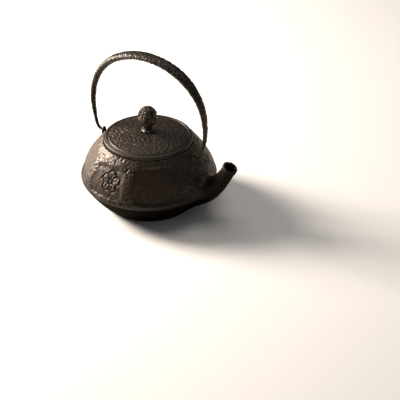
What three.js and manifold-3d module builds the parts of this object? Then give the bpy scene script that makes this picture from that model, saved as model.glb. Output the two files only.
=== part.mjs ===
// Cast iron teapot with a swinging bail handle, a lift-off lid and a steel infuser basket.
// Millimetres, +Z up. The origin is on the pot's axis at the flat base, and the spout points along +X.
import * as THREE from "three";
import { mergeVertices } from "three/addons/utils/BufferGeometryUtils.js";
import Module from "manifold-3d";

const wasm = await Module();
wasm.setup();

// ---- Driving dimensions ----
const GAP = 0.3; // between pieces that touch
const ROUND = 36; // sides of the pot, lid and basket

const BASE_RADIUS = 56;
const BELLY_RADIUS = 82.2;
const BELLY_HEIGHT = 35;
const SHOULDER_BEND = new THREE.Vector2(77.3, 60.4); // pulls the shoulder out between belly and lip
const MOUTH_LIP_RADIUS = 55; // outer shoulder where it meets the lid
const MOUTH_LIP_HEIGHT = 82.6;
const WALL = 3.6;
const FLOOR = 4.2;
const LEDGE_HEIGHT = 79.2; // ring inside the lip that carries the lid
const LEDGE_RADIUS = 53.8;
const BASKET_STEP_RADIUS = 48.2; // lower step that carries the basket's flange
const BASKET_STEP_DEPTH = 1.8;
const MOUTH_RADIUS = 43.6;

const SPOUT_ROOT = new THREE.Vector2(62, 28); // the spout's centre line, in x and z
const SPOUT_LOW_BEND = new THREE.Vector2(86, 36);
const SPOUT_HIGH_BEND = new THREE.Vector2(100, 50);
const SPOUT_MOUTH = new THREE.Vector2(112.1, 76);
const SPOUT_LIP_RADIUS = 9.4;
const SPOUT_NECK_RADIUS = 8.8;
const SPOUT_ROOT_RADIUS = 16.5;
const SPOUT_BORE_MOUTH = 6.9;
const SPOUT_BORE_ROOT = 10;

const PIVOT_HEIGHT = 76.9; // axis the bail handle swings on
const LUG_INNER = 61.8;
const LUG_THICKNESS = 4;
const LUG_RADIUS = 4;
const LUG_HOLE_RADIUS = 2.2;

const LID_RADIUS = 53.3;
const LID_EDGE_TOP = 86.8;
const LID_BAND = 5.2; // smooth band round the edge
const LID_CROWN = 93.9; // top of the lid at its centre
const LID_THICKNESS = 3.3;
const LID_COLLAR_RADIUS = 38.6;
const LID_COLLAR_BOTTOM = 72;
const SCREW_CLEARANCE_RADIUS = 2.9;

const KNOB_RADIUS = 11.2;
const KNOB_HALF_HEIGHT = 12.3;
const KNOB_NECK_RADIUS = 5;
const KNOB_FOOT_RADIUS = 6;
const KNOB_CENTRE = 112.5;
const KNOB_SEAT_RADIUS = 8;
const KNOB_SEAT_THICKNESS = 2.2;
const SCREW_RADIUS = 2.4;
const SCREW_HEAD_RADIUS = 4.6;
const SCREW_TIP = 105.8;
const WASHER_RADIUS = 7.2;
const WASHER_THICKNESS = 1.1;

const ARCH_RADIUS = 77.8; // bail's centre line, seen along Y
const ARCH_CENTRE_HEIGHT = 114.5;
const ARCH_RISE = 75.1;
const ARCH_FULLNESS = 0.585; // 0.552 is an ellipse, and more makes squarer shoulders
const ARCH_SHIFT = 0.7; // the whole arch stands this much toward the spout
const LEG_FOOT = new THREE.Vector2(73.1, 83.2); // where each leg starts to bend in to its hook
const LEG_TOP_OF_BEND = 97;
const HOOK_BEND = 71;
const HOOK_STRAIGHT = 66.6;
const HOOK_RADIUS = 1.7;
const GRIP_HALF_WIDTH = 8.6; // along Y at the crown
const GRIP_HALF_THICKNESS = 4.8;

const BASKET_TOP_RADIUS = 40.2;
const BASKET_FOOT_RADIUS = 37;
const BASKET_FOOT = 27.4;
const MESH = 0.8;
const HOOP_WIDTH = 6.9; // across its foot, from the outside in
const SEAM_WIDTH = 7;

// ---- Shaping tools ----
const iron = (color) =>
  new THREE.MeshStandardMaterial({ color, roughness: 0.72, metalness: 0.55 });
const steel = (color) =>
  new THREE.MeshStandardMaterial({ color, roughness: 0.35, metalness: 0.95 });

// Turns a closed three.js geometry into a solid for joining and cutting.
function solid(geometry) {
  const bare = new THREE.BufferGeometry();
  bare.setAttribute("position", geometry.getAttribute("position"));
  bare.setIndex(geometry.index);
  const merged = mergeVertices(bare, 1e-4);
  return new wasm.Manifold(
    new wasm.Mesh({
      numProp: 3,
      vertProperties: merged.attributes.position.array,
      triVerts: new Uint32Array(merged.index.array),
    }),
  );
}

function named(name, body, material) {
  const { vertProperties, triVerts } = body.getMesh();
  const geometry = new THREE.BufferGeometry();
  geometry.setAttribute("position", new THREE.BufferAttribute(vertProperties, 3));
  geometry.setIndex(new THREE.BufferAttribute(triVerts, 1));
  geometry.computeVertexNormals();
  const mesh = new THREE.Mesh(geometry, material);
  mesh.name = name;
  return mesh;
}

// A path of radius and height, turned about the Z axis.
function revolve(path, sides = ROUND, steps = 4) {
  const outline = path.getPoints(steps);
  return solid(new THREE.LatheGeometry(outline, sides).rotateX(Math.PI / 2));
}

function ring(innerRadius, outerRadius, bottom, top, sides = ROUND) {
  const path = new THREE.Path();
  path.moveTo(innerRadius, bottom);
  path.lineTo(outerRadius, bottom);
  path.lineTo(outerRadius, top);
  path.lineTo(innerRadius, top);
  path.lineTo(innerRadius, bottom);
  return revolve(path, sides);
}

// A bar along a curve in the XZ plane. halfSize(u) gives its half thickness in that plane and its
// half width along Y, with u running from 0 to 1 along the curve.
function bar(curve, steps, sides, halfSize) {
  const geometry = new THREE.CylinderGeometry(1, 1, 1, sides, steps);
  const position = geometry.getAttribute("position");
  for (let i = 0; i < position.count; i++) {
    const u = THREE.MathUtils.clamp(position.getY(i) + 0.5, 0, 1);
    const centre = curve.getPointAt(u);
    const along = curve.getTangentAt(u);
    const [thick, wide] = halfSize(u);
    const side = position.getX(i) * thick;
    position.setXYZ(
      i,
      centre.x - along.y * side,
      position.getZ(i) * wide,
      centre.y + along.x * side,
    );
  }
  return solid(geometry);
}

// ---- Pot: one casting with its spout and its two handle lugs ----
function potBody() {
  const outer = new THREE.Path();
  outer.moveTo(0, 0);
  outer.lineTo(BASE_RADIUS - 1.5, 0);
  outer.lineTo(BASE_RADIUS + 0.8, 1.8);
  outer.quadraticCurveTo(68.5, 12.8, BELLY_RADIUS - 2.2, BELLY_HEIGHT - 4.2);
  outer.quadraticCurveTo(BELLY_RADIUS + 1.2, BELLY_HEIGHT, BELLY_RADIUS - 0.6, BELLY_HEIGHT + 4.5);
  outer.quadraticCurveTo(SHOULDER_BEND.x, SHOULDER_BEND.y, MOUTH_LIP_RADIUS, MOUTH_LIP_HEIGHT);
  outer.lineTo(MOUTH_LIP_RADIUS - 0.7, MOUTH_LIP_HEIGHT + 0.3);
  outer.lineTo(LEDGE_RADIUS, MOUTH_LIP_HEIGHT - 0.2);
  outer.lineTo(LEDGE_RADIUS, LEDGE_HEIGHT);
  outer.lineTo(BASKET_STEP_RADIUS, LEDGE_HEIGHT);
  outer.lineTo(BASKET_STEP_RADIUS, LEDGE_HEIGHT - BASKET_STEP_DEPTH);
  outer.lineTo(MOUTH_RADIUS, LEDGE_HEIGHT - BASKET_STEP_DEPTH);
  outer.lineTo(0, LEDGE_HEIGHT - BASKET_STEP_DEPTH);

  const inner = new THREE.Path();
  inner.moveTo(0, FLOOR);
  inner.lineTo(BASE_RADIUS - 5, FLOOR);
  inner.quadraticCurveTo(64.6, 12.4, BELLY_RADIUS - 6, BELLY_HEIGHT - 4.6);
  const bellyInside = BELLY_RADIUS - WALL;
  inner.quadraticCurveTo(bellyInside + 0.6, BELLY_HEIGHT, bellyInside - 1, BELLY_HEIGHT + 4.5);
  inner.quadraticCurveTo(SHOULDER_BEND.x - WALL, SHOULDER_BEND.y - 2.6, 58, 73);
  inner.lineTo(MOUTH_RADIUS + 1.4, 73.4);
  inner.lineTo(MOUTH_RADIUS, 74.8);
  inner.lineTo(MOUTH_RADIUS, LEDGE_HEIGHT + 2);
  inner.lineTo(0, LEDGE_HEIGHT + 2);
  const hollow = revolve(inner);

  const spoutRun = (end) =>
    new THREE.CubicBezierCurve(SPOUT_ROOT, SPOUT_LOW_BEND, SPOUT_HIGH_BEND, end);
  const spout = bar(spoutRun(SPOUT_MOUTH), 14, 20, (u) => {
    const lip = THREE.MathUtils.smoothstep(u, 0.9, 1);
    const neck = THREE.MathUtils.smoothstep(u, 0.05, 0.86);
    const radius =
      THREE.MathUtils.lerp(SPOUT_ROOT_RADIUS, SPOUT_NECK_RADIUS, neck) +
      (SPOUT_LIP_RADIUS - SPOUT_NECK_RADIUS) * lip;
    return [radius, radius];
  });
  // The bore starts in the pot's hollow and runs on past the open end.
  const boreEnd = SPOUT_MOUTH.clone().add(new THREE.Vector2(0.4, 0.9));
  const bore = bar(spoutRun(boreEnd), 12, 16, (u) => {
    const radius = THREE.MathUtils.lerp(SPOUT_BORE_ROOT, SPOUT_BORE_MOUTH, Math.min(1, u * 1.25));
    return [radius, radius];
  });

  let pot = revolve(outer).add(spout);
  for (const side of [1, -1]) pot = pot.add(lug(side));
  return pot.subtract(hollow).subtract(bore).subtract(lugHole(1)).subtract(lugHole(-1));
}

// An upright ear on the shoulder, its face across X, cast with a hole for the handle's hook.
function lug(side) {
  const shape = new THREE.Shape();
  const foot = 66 - PIVOT_HEIGHT;
  shape.moveTo(-LUG_RADIUS - 1.6, foot);
  shape.lineTo(LUG_RADIUS + 1.6, foot);
  shape.lineTo(LUG_RADIUS, 0);
  shape.absarc(0, 0, LUG_RADIUS, 0, Math.PI, false);
  shape.lineTo(-LUG_RADIUS - 1.6, foot);
  const plate = new THREE.ExtrudeGeometry(shape, {
    depth: LUG_THICKNESS,
    bevelEnabled: false,
    curveSegments: 10,
  });
  plate.rotateX(Math.PI / 2).rotateZ(Math.PI / 2);
  plate.translate(side > 0 ? LUG_INNER : -LUG_INNER - LUG_THICKNESS, 0, PIVOT_HEIGHT);
  return solid(plate);
}

function lugHole(side) {
  const hole = new THREE.CylinderGeometry(LUG_HOLE_RADIUS, LUG_HOLE_RADIUS, LUG_THICKNESS + 1.2, 16);
  hole.rotateZ(Math.PI / 2);
  hole.translate(side * (LUG_INNER + LUG_THICKNESS / 2), 0, PIVOT_HEIGHT);
  return solid(hole);
}

// ---- Lid: a shallow cast dome with a locating collar under it ----
function lid() {
  const bandInner = LID_RADIUS - LID_BAND;
  const underside = LEDGE_HEIGHT + GAP;
  const path = new THREE.Path();
  path.moveTo(SCREW_CLEARANCE_RADIUS, LID_CROWN - LID_THICKNESS);
  path.lineTo(8.5, LID_CROWN - LID_THICKNESS);
  path.quadraticCurveTo(26, 89.4, LID_COLLAR_RADIUS - 2.4, 85.6);
  path.lineTo(LID_COLLAR_RADIUS - 2.4, LID_COLLAR_BOTTOM);
  path.lineTo(LID_COLLAR_RADIUS - 0.6, LID_COLLAR_BOTTOM);
  path.lineTo(LID_COLLAR_RADIUS, LID_COLLAR_BOTTOM + 0.8);
  path.lineTo(LID_COLLAR_RADIUS, underside);
  path.lineTo(LID_RADIUS - 0.8, underside);
  path.lineTo(LID_RADIUS, underside + 0.9);
  path.lineTo(LID_RADIUS, LID_EDGE_TOP - 1.8);
  path.quadraticCurveTo(LID_RADIUS, LID_EDGE_TOP - 0.1, LID_RADIUS - 1.7, LID_EDGE_TOP);
  path.lineTo(bandInner + 0.5, LID_EDGE_TOP + 0.9);
  path.lineTo(bandInner, LID_EDGE_TOP + 0.3);
  path.lineTo(bandInner - 0.5, LID_EDGE_TOP + 1);
  path.quadraticCurveTo(24, LID_CROWN, SCREW_CLEARANCE_RADIUS, LID_CROWN);
  path.lineTo(SCREW_CLEARANCE_RADIUS, LID_CROWN - LID_THICKNESS);
  return revolve(path);
}

// ---- Knob, its seat and the screw that holds it from under the lid ----
const knobSeatBottom = LID_CROWN + GAP;
const knobSeatTop = knobSeatBottom + KNOB_SEAT_THICKNESS;
const washerTop = LID_CROWN - LID_THICKNESS - GAP;
const washerBottom = washerTop - WASHER_THICKNESS;
const screwHeadTop = washerBottom - GAP;

function knob() {
  const bottom = knobSeatTop + GAP;
  const neckAngle = -Math.acos(KNOB_NECK_RADIUS / KNOB_RADIUS);
  const threadRadius = SCREW_RADIUS + GAP + 0.05;
  const path = new THREE.Path();
  path.moveTo(0, SCREW_TIP + 0.8);
  path.lineTo(threadRadius, SCREW_TIP + 0.8);
  path.lineTo(threadRadius, bottom);
  path.lineTo(KNOB_FOOT_RADIUS, bottom);
  path.lineTo(KNOB_NECK_RADIUS, bottom + 2);
  path.absellipse(0, KNOB_CENTRE, KNOB_RADIUS, KNOB_HALF_HEIGHT, neckAngle, Math.PI / 2, false);
  return revolve(path, 24, 9);
}

function knobSeat() {
  const path = new THREE.Path();
  path.moveTo(SCREW_CLEARANCE_RADIUS, knobSeatBottom);
  path.lineTo(KNOB_SEAT_RADIUS, knobSeatBottom);
  path.lineTo(KNOB_SEAT_RADIUS, knobSeatBottom + 0.8);
  path.lineTo(KNOB_SEAT_RADIUS - 1.8, knobSeatTop);
  path.lineTo(SCREW_CLEARANCE_RADIUS, knobSeatTop);
  path.lineTo(SCREW_CLEARANCE_RADIUS, knobSeatBottom);
  return revolve(path, 24);
}

function knobScrew() {
  const headBottom = screwHeadTop - 3;
  const path = new THREE.Path();
  path.moveTo(0, headBottom);
  path.lineTo(SCREW_HEAD_RADIUS - 1.2, headBottom);
  path.lineTo(SCREW_HEAD_RADIUS, headBottom + 1.3);
  path.lineTo(SCREW_HEAD_RADIUS, screwHeadTop);
  path.lineTo(SCREW_RADIUS, screwHeadTop);
  path.lineTo(SCREW_RADIUS, SCREW_TIP - 0.8);
  path.lineTo(SCREW_RADIUS - 0.8, SCREW_TIP);
  path.lineTo(0, SCREW_TIP);
  return revolve(path, 20);
}

// ---- Bail handle: one forged bar, wide at the grip, drawn down to a round hook at each end ----
function bailHandle() {
  const line = new THREE.Path();
  const hookTip = LUG_INNER - 0.2;
  const crown = ARCH_CENTRE_HEIGHT + ARCH_RISE;
  const shoulder = ARCH_CENTRE_HEIGHT + ARCH_RISE * ARCH_FULLNESS;
  const reach = ARCH_RADIUS * ARCH_FULLNESS;
  const front = ARCH_SHIFT + ARCH_RADIUS;
  const back = ARCH_SHIFT - ARCH_RADIUS;
  line.moveTo(hookTip, PIVOT_HEIGHT);
  line.lineTo(HOOK_STRAIGHT, PIVOT_HEIGHT);
  line.quadraticCurveTo(HOOK_BEND, PIVOT_HEIGHT, LEG_FOOT.x, LEG_FOOT.y);
  line.quadraticCurveTo(front, LEG_TOP_OF_BEND, front, ARCH_CENTRE_HEIGHT);
  line.bezierCurveTo(front, shoulder, ARCH_SHIFT + reach, crown, ARCH_SHIFT, crown);
  line.bezierCurveTo(ARCH_SHIFT - reach, crown, back, shoulder, back, ARCH_CENTRE_HEIGHT);
  line.quadraticCurveTo(back, LEG_TOP_OF_BEND, -LEG_FOOT.x, LEG_FOOT.y);
  line.quadraticCurveTo(-HOOK_BEND, PIVOT_HEIGHT, -HOOK_STRAIGHT, PIVOT_HEIGHT);
  line.lineTo(-hookTip, PIVOT_HEIGHT);
  return bar(line, 54, 12, (u) => {
    const fullness = Math.sin(Math.PI * u) ** 1.3;
    return [
      THREE.MathUtils.lerp(HOOK_RADIUS, GRIP_HALF_THICKNESS, fullness),
      THREE.MathUtils.lerp(HOOK_RADIUS, GRIP_HALF_WIDTH, fullness),
    ];
  });
}

// ---- Infuser basket: flanged rim, mesh wall with a seam strip, mesh base and its hoop ----
const flangeTop = LEDGE_HEIGHT - 0.5;
const rimBottom = 69.5;
const wallTop = 76.6;
const wallBottom = BASKET_FOOT + 1.8;

// Radius of the mesh wall's outside at a height.
function wallRadius(height) {
  const share = (height - BASKET_FOOT) / (wallTop - BASKET_FOOT);
  return THREE.MathUtils.lerp(BASKET_FOOT_RADIUS, BASKET_TOP_RADIUS, share);
}

function infuserRim() {
  const inside = BASKET_TOP_RADIUS + GAP;
  const flangeBottom = flangeTop - 0.9;
  const path = new THREE.Path();
  path.moveTo(inside, rimBottom);
  path.lineTo(inside + 0.8, rimBottom);
  path.lineTo(inside + 0.8, flangeBottom);
  path.lineTo(BASKET_STEP_RADIUS - 0.7, flangeBottom);
  path.lineTo(BASKET_STEP_RADIUS - 0.7, flangeTop);
  path.lineTo(inside, flangeTop);
  path.lineTo(inside, rimBottom);
  return revolve(path);
}

function infuserWall() {
  const path = new THREE.Path();
  path.moveTo(wallRadius(wallBottom) - MESH, wallBottom);
  path.lineTo(wallRadius(wallBottom), wallBottom);
  path.lineTo(wallRadius(wallTop), wallTop);
  path.lineTo(wallRadius(wallTop) - MESH, wallTop);
  path.lineTo(wallRadius(wallBottom) - MESH, wallBottom);
  return revolve(path);
}

function infuserBase() {
  const path = new THREE.Path();
  path.moveTo(0, BASKET_FOOT);
  path.lineTo(BASKET_FOOT_RADIUS - 2.2, BASKET_FOOT);
  path.lineTo(BASKET_FOOT_RADIUS - 2.2, BASKET_FOOT + MESH);
  path.lineTo(0, BASKET_FOOT + MESH);
  return revolve(path);
}

// A rolled channel that grips the wall from outside and the base from below.
function infuserHoop() {
  const outside = BASKET_FOOT_RADIUS + 1.4;
  const bottom = BASKET_FOOT - GAP - 0.8;
  const path = new THREE.Path();
  path.moveTo(outside - HOOP_WIDTH, bottom);
  path.lineTo(outside - 0.6, bottom);
  path.lineTo(outside, bottom + 0.6);
  path.lineTo(outside, wallBottom + 4);
  path.lineTo(outside - 0.7, wallBottom + 4);
  path.lineTo(outside - 0.7, BASKET_FOOT + 0.2);
  path.lineTo(outside - 1.2, BASKET_FOOT - GAP);
  path.lineTo(outside - HOOP_WIDTH, BASKET_FOOT - GAP);
  path.lineTo(outside - HOOP_WIDTH, bottom);
  return revolve(path);
}

// A flat strip welded over the joint in the mesh, on the side away from the spout.
function infuserSeam() {
  const low = wallBottom + 4.6;
  const high = rimBottom - 0.6;
  const lowX = wallRadius(low) + GAP;
  const highX = wallRadius(high) + GAP;
  const shape = new THREE.Shape();
  shape.moveTo(-lowX, low);
  shape.lineTo(-highX, high);
  shape.lineTo(-highX - 0.6, high);
  shape.lineTo(-lowX - 0.6, low);
  const strip = new THREE.ExtrudeGeometry(shape, { depth: SEAM_WIDTH, bevelEnabled: false });
  strip.rotateX(Math.PI / 2).translate(0, SEAM_WIDTH / 2, 0);
  return solid(strip);
}

// ---- Assembly ----
const teapot = new THREE.Group();
teapot.add(
  named("pot_body", potBody(), iron(0x3b3632)),
  named("bail_handle", bailHandle(), iron(0x4a433c)),
);

const lidGroup = new THREE.Group();
lidGroup.add(
  named("lid", lid(), iron(0x463f39)),
  named("knob", knob(), iron(0x4f473e)),
  named("knob_seat", knobSeat(), iron(0x5a5148)),
  named("knob_screw", knobScrew(), steel(0xb0aea8)),
  named(
    "knob_washer",
    ring(SCREW_RADIUS + GAP + 0.1, WASHER_RADIUS, washerBottom, washerTop, 20),
    steel(0xa9a7a1),
  ),
);

const infuser = new THREE.Group();
infuser.add(
  named("infuser_rim", infuserRim(), steel(0xb9b7b2)),
  named("infuser_wall", infuserWall(), steel(0xaaa8a3)),
  named("infuser_base", infuserBase(), steel(0xaaa8a3)),
  named("infuser_hoop", infuserHoop(), steel(0xb9b7b2)),
  named("infuser_seam", infuserSeam(), steel(0xb4b2ad)),
);

teapot.add(lidGroup, infuser);

export default teapot;
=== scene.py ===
import math

import bmesh
import bpy
import numpy as np
from mathutils import Euler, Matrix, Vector, noise


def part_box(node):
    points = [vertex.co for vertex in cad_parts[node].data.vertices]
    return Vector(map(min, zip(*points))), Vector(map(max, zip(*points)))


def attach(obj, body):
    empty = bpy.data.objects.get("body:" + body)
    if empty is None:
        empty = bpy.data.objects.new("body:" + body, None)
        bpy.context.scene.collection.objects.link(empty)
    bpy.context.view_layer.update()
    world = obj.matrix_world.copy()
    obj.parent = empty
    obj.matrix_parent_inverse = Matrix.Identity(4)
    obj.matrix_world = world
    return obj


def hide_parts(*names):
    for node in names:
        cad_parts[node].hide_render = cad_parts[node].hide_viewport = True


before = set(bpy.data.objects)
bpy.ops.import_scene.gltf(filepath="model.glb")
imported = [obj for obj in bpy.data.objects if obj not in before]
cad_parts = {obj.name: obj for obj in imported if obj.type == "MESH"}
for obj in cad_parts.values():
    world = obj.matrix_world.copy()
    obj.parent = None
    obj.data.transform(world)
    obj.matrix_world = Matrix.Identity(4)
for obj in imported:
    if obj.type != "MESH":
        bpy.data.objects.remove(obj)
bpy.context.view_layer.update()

# Cast iron teapot: a sand-cast pot with its spout, a lid with a knob screwed through it, a swinging
# bail handle and a steel infuser basket. Metres, +Z up, spout along +X; the sizes below are in
# millimetres unless they say otherwise.


# ---- Studio: pale floor, soft light and camera ----
# A plain table top in pale matt paint. As the camera sees it, one strong soft lamp stands left of
# the pot and a little behind it, and a weak wide one hangs overhead. The camera stands on the -Y
# side, turned 30 degrees towards the spout, and looks down at the pot.
MM = 0.001
CAMERA_TURN = math.radians(30.4)
CAMERA_DROP = math.radians(32.61)
CAMERA_DISTANCE = 1.5
CAMERA_LENS = 113.11  # millimetres, on a sensor 36 wide
CAMERA_AIM = Vector((0.0718, -0.0005, 0.0189))
FLOOR_HALF = 4.0
LAMP_AIM_HEIGHT = 0.07


def linear(hex_colour):
    """An sRGB hex colour as linear red, green, blue and alpha."""
    parts = [int(hex_colour[i : i + 2], 16) / 255 for i in (1, 3, 5)]
    return [c / 12.92 if c <= 0.04045 else ((c + 0.055) / 1.055) ** 2.4 for c in parts] + [1.0]


def add_node(tree, kind, inputs=None, **settings):
    """One node with its settings. inputs maps a socket to a value or to another node's output."""
    made = tree.nodes.new(kind)
    for name, value in settings.items():
        setattr(made, name, value)
    for socket, value in (inputs or {}).items():
        if isinstance(value, bpy.types.NodeSocket):
            tree.links.new(value, made.inputs[socket])
        else:
            made.inputs[socket].default_value = value
    return made


def new_material(name):
    """A material with an empty node tree."""
    material = bpy.data.materials.new(name)
    material.use_nodes = True
    material.node_tree.nodes.clear()
    return material, material.node_tree


def matt_paint():
    """Pale matt emulsion, rolled on: even and almost without gloss."""
    material, tree = new_material("matt_paint_rolled")
    shader = add_node(
        tree,
        "ShaderNodeBsdfPrincipled",
        {"Base Color": linear("#e9e8e6"), "Roughness": 0.85, "Specular IOR Level": 0.2},
    )
    add_node(tree, "ShaderNodeOutputMaterial", {"Surface": shader.outputs["BSDF"]})
    return material


floor_mesh = bpy.data.meshes.new("floor")
floor_mesh.from_pydata(
    [(x * FLOOR_HALF, y * FLOOR_HALF, 0) for x, y in ((-1, -1), (1, -1), (1, 1), (-1, 1))],
    [],
    [(0, 1, 2, 3)],
)
floor_mesh.materials.append(matt_paint())
floor = bpy.data.objects.new("floor", floor_mesh)
bpy.context.collection.objects.link(floor)

toward_camera = Vector((math.sin(CAMERA_TURN), -math.cos(CAMERA_TURN), 0))
camera_left = Vector((-math.cos(CAMERA_TURN), -math.sin(CAMERA_TURN), 0))
camera_data = bpy.data.cameras.new("camera")
camera_data.lens = CAMERA_LENS
camera_data.sensor_width = 36
camera_data.clip_start = 0.05
camera = bpy.data.objects.new("camera", camera_data)
camera.rotation_euler = Euler((math.pi / 2 - CAMERA_DROP, 0, CAMERA_TURN))
up_and_back = toward_camera * math.cos(CAMERA_DROP) + Vector((0, 0, math.sin(CAMERA_DROP)))
camera.location = CAMERA_AIM + up_and_back * CAMERA_DISTANCE
bpy.context.collection.objects.link(camera)
bpy.context.scene.camera = camera
bpy.context.scene.view_settings.view_transform = "Standard"


def soft_lamp(name, direction, distance, size, power, colour):
    """A square soft lamp that faces the pot from a direction."""
    data = bpy.data.lights.new(name, "AREA")
    data.size = size
    data.energy = power
    data.color = linear(colour)[:3]
    lamp = bpy.data.objects.new(name, data)
    lamp.location = Vector((0, 0, LAMP_AIM_HEIGHT)) + direction.normalized() * distance
    lamp.rotation_euler = direction.to_track_quat("Z", "Y").to_euler()
    bpy.context.collection.objects.link(lamp)


UP = Vector((0, 0, 1))
key_side = camera_left - toward_camera * 0.42 + UP * 0.52
soft_lamp("key_lamp", key_side, 1.2, 0.42, 48, "#fff3e7")
soft_lamp("top_lamp", UP - toward_camera * 0.25, 1.9, 1.6, 12, "#fff8f0")

world = bpy.data.worlds.new("studio")
world.use_nodes = True
world.node_tree.nodes.clear()
sky = add_node(
    world.node_tree, "ShaderNodeBackground", {"Color": linear("#f7f8fa"), "Strength": 0.15}
)
add_node(world.node_tree, "ShaderNodeOutputWorld", {"Surface": sky.outputs["Background"]})
bpy.context.scene.world = world


# ---- Pot: body, spout and two handle lugs ----
# One grey-iron casting from a sand mould, blackened and lacquered outside and enamelled black
# inside. Six shallow smooth panels are sunk in a rough shoulder, and one carries a carved blossom.
POT_TURNS = 420
POT_FLOOR = 4.2
BELLY_HEIGHT = 35
LIP_RADIUS = 55
LIP_HEIGHT = 82.6
LEDGE_RADIUS = 53.8
LEDGE_HEIGHT = 79.2
STEP_RADIUS = 48.2
STEP_HEIGHT = 77.4
MOUTH_RADIUS = 43.6
SPOUT_PATH = ((62, 28), (86, 36), (100, 50), (112.1, 76))
SPOUT_RADII = (16.5, 8.8, 9.4)  # at the root, the neck and the lip
BORE_RADII = (10, 6.9)
SPOUT_FILLET = 9
PIVOT_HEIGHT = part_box("bail_handle")[0].z / MM + 1.7
LUG_MIDDLE = 63.8
LUG_HALF_THICKNESS = 2.1
LUG_HALF_WIDTH = 4.2
LUG_HOLE_RADIUS = 2.2
LUG_FOOT_HEIGHT = 74  # where the lugs leave the shoulder
ENAMEL_TOP = 73.2
SKIN = 0.27  # the rough skin is drawn this far inside the true size, so that its lumps end on it
SKIN_CLEARANCE = 0.06  # the highest lumps stay this far inside
# Each panel's middle and half width in degrees from the spout, and its middle and half height.
PANELS = ((49, 27, 58, 21.5), (100, 20.5, 55.5, 18.5), (145, 19.5, 56, 19))
PANEL_DEPTH = 0.4
PANEL_FLATTENING = 2.0  # how far a panel's middle is pressed in to make it flatter
BLOSSOM_TURN = -96
BLOSSOM_HEIGHT = 58.5
BLOSSOM_SLOPE = 1.16  # length along the shoulder for each millimetre of height
BLOSSOM_EDGE = 17
BLOSSOM_HEART = 3
PETALS = 5
PETAL_RING = 7.9  # from the blossom's middle to each petal's
PETAL_RADIUS = 5.6


def outline(start, *legs, spacing=1.5):
    """Points at most spacing apart, along straight legs (end,) and bent legs (bend, end)."""
    points = [np.array(start, float)]
    for leg in legs:
        first = points[-1]
        ends = [np.array(p, float) for p in leg]
        bend = ends[0] if len(ends) == 2 else (first + ends[0]) / 2
        end = ends[-1]
        length = np.linalg.norm(bend - first) + np.linalg.norm(end - bend)
        for t in np.linspace(0, 1, max(1, math.ceil(length / spacing)) + 1)[1:]:
            points.append((1 - t) ** 2 * first + 2 * t * (1 - t) * bend + t**2 * end)
    return np.array(points)


def grid_faces(rows, columns, closed):
    """Four-sided faces of a grid. Its columns join round, and so do its rows if it is closed."""
    row = np.arange(rows if closed else rows - 1)[:, None]
    column = np.arange(columns)[None, :]
    following = (row + 1) % rows
    right = (column + 1) % columns
    corners = [row * columns + column, row * columns + right]
    corners += [following * columns + right, following * columns + column]
    return np.stack(np.broadcast_arrays(*corners), -1).reshape(-1, 4).tolist()


def new_piece(name, points, faces):
    """A smooth object from points in millimetres, its doubles merged and its faces turned out."""
    mesh = bpy.data.meshes.new(name)
    mesh.from_pydata((np.asarray(points) * MM).tolist(), [], faces)
    shape = bmesh.new()
    shape.from_mesh(mesh)
    bmesh.ops.remove_doubles(shape, verts=shape.verts, dist=1e-6)
    bmesh.ops.recalc_face_normals(shape, faces=shape.faces)
    shape.to_mesh(mesh)
    shape.free()
    mesh.shade_smooth()
    piece = bpy.data.objects.new(name, mesh)
    bpy.context.collection.objects.link(piece)
    return piece


def turned(name, profile, turns, closed=True):
    """A profile of radius and height turned about Z. One that is not closed ends on the axis."""
    angle = np.linspace(0, 2 * math.pi, turns, endpoint=False)
    radius, height = profile.T
    points = np.stack(
        [
            np.outer(radius, np.cos(angle)),
            np.outer(radius, np.sin(angle)),
            np.repeat(height[:, None], turns, 1),
        ],
        -1,
    )
    return new_piece(name, points.reshape(-1, 3), grid_faces(len(profile), turns, closed))


def swept(name, path, thick, wide, sides):
    """A bar along a path in the XZ plane. thick is half its thickness and wide half its width."""
    along = np.gradient(path, axis=0)
    along /= np.linalg.norm(along, axis=1)[:, None]
    turn = np.linspace(0, 2 * math.pi, sides, endpoint=False)
    out = np.outer(thick, np.cos(turn))
    points = np.stack(
        [
            path[:, :1] + along[:, 1:] * out,
            np.outer(wide, np.sin(turn)),
            path[:, 1:] - along[:, :1] * out,
        ],
        -1,
    )
    faces = grid_faces(len(path), sides, False)
    last = (len(path) - 1) * sides
    faces += [list(range(sides)), [last + i for i in range(sides)]]
    return new_piece(name, points.reshape(-1, 3), faces)


def joined(piece, tool, operation):
    """Joins a tool to a piece, or cuts it away, and removes the tool."""
    cut = piece.modifiers.new("join", "BOOLEAN")
    cut.operation = operation
    cut.solver = "MANIFOLD"
    cut.object = tool
    graph = bpy.context.evaluated_depsgraph_get()
    mesh = bpy.data.meshes.new_from_object(piece.evaluated_get(graph))
    piece.modifiers.clear()
    piece.data = mesh
    bpy.data.objects.remove(tool)


def places_of(piece):
    """A piece's points and their outward directions, in millimetres."""
    count = len(piece.data.vertices)
    points = np.empty(count * 3)
    normals = np.empty(count * 3)
    piece.data.vertices.foreach_get("co", points)
    piece.data.vertices.foreach_get("normal", normals)
    return points.reshape(-1, 3) / MM, normals.reshape(-1, 3)


def place(piece, points):
    """Puts a piece's points at these places, in millimetres."""
    piece.data.vertices.foreach_set("co", (points * MM).ravel())
    piece.data.update()


def store(piece, name, values):
    """Keeps one number at each point for a material to read."""
    kept = piece.data.attributes.new(name, "FLOAT", "POINT")
    kept.data.foreach_set("value", np.asarray(values, np.float32))


def smooth_step(low, high, value):
    """0 below low, 1 above high and an even curve between them."""
    share = np.clip((value - low) / (high - low), 0, 1)
    return share * share * (3 - 2 * share)


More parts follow.
